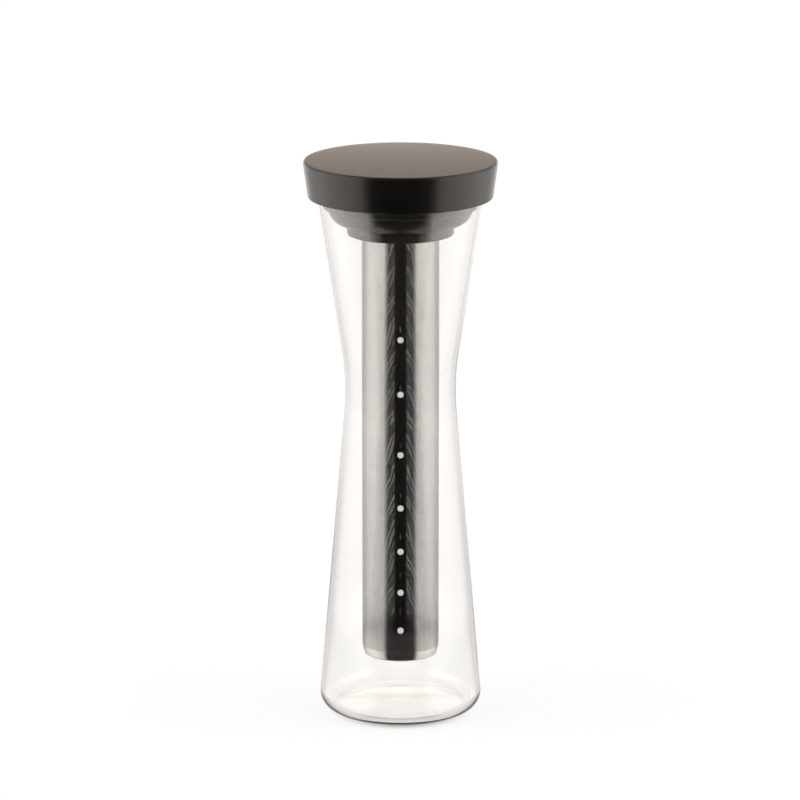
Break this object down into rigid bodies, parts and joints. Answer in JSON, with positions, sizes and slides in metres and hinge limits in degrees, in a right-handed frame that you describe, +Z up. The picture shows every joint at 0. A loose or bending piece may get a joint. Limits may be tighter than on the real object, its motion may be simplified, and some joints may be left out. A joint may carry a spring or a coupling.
{
  "type": "cold brew coffee maker",
  "caption": "Hourglass glass carafe with a flat dark lid whose stopper carries a long micro-perforated steel filter tube, for brewing coffee cold.",
  "frame": {"origin": "on the table, at the centre of the carafe's foot", "axes": "+Z up along the carafe's axis; -Y is the front, where the volume marks and the filter's plain strip are; +X to the right seen from the front"},
  "size_m": [0.1108, 0.1108, 0.3239],
  "materials": {
    "clear_glass": "clear borosilicate, fire polished",
    "mark_enamel": "printed white enamel",
    "lid_plastic": "satin, fine spark texture",
    "seal_silicone": "soft satin silicone",
    "filter_steel": "satin stainless steel, micro-perforated tube"
  },
  "bodies": {
    "carafe": {"glass_carafe": "clear_glass", "volume_mark_1": "mark_enamel", "volume_mark_2": "mark_enamel", "volume_mark_3": "mark_enamel", "volume_mark_4": "mark_enamel", "volume_mark_5": "mark_enamel", "volume_mark_6": "mark_enamel", "volume_mark_7": "mark_enamel"},
    "lid": {"lid_cap": "lid_plastic", "lid_plug": "lid_plastic", "mouth_seal": "seal_silicone"},
    "gasket": {"filter_gasket": "seal_silicone"},
    "filter": {"filter_collar": "lid_plastic", "filter_tube": "filter_steel", "filter_base": "filter_steel"}
  },
  "joints": [
    {"name": "lid_lift", "type": "slide", "parent": "carafe", "child": "lid", "axis": [0, 0, 1], "range_m": [0, 0.3]},
    {"name": "filter_drop", "type": "slide", "parent": "lid", "child": "gasket", "axis": [0, 0, -1], "range_m": [0, 0.01]},
    {"name": "filter_turn", "type": "hinge", "parent": "gasket", "child": "filter", "pos_m": [0, 0, 0.29], "axis": [0, 0, -1], "range_deg": [0, 113]}
  ],
  "couplings": [
    {"joint": "filter_turn", "follows": "filter_drop", "rad_per_m": 196.35}
  ]
}
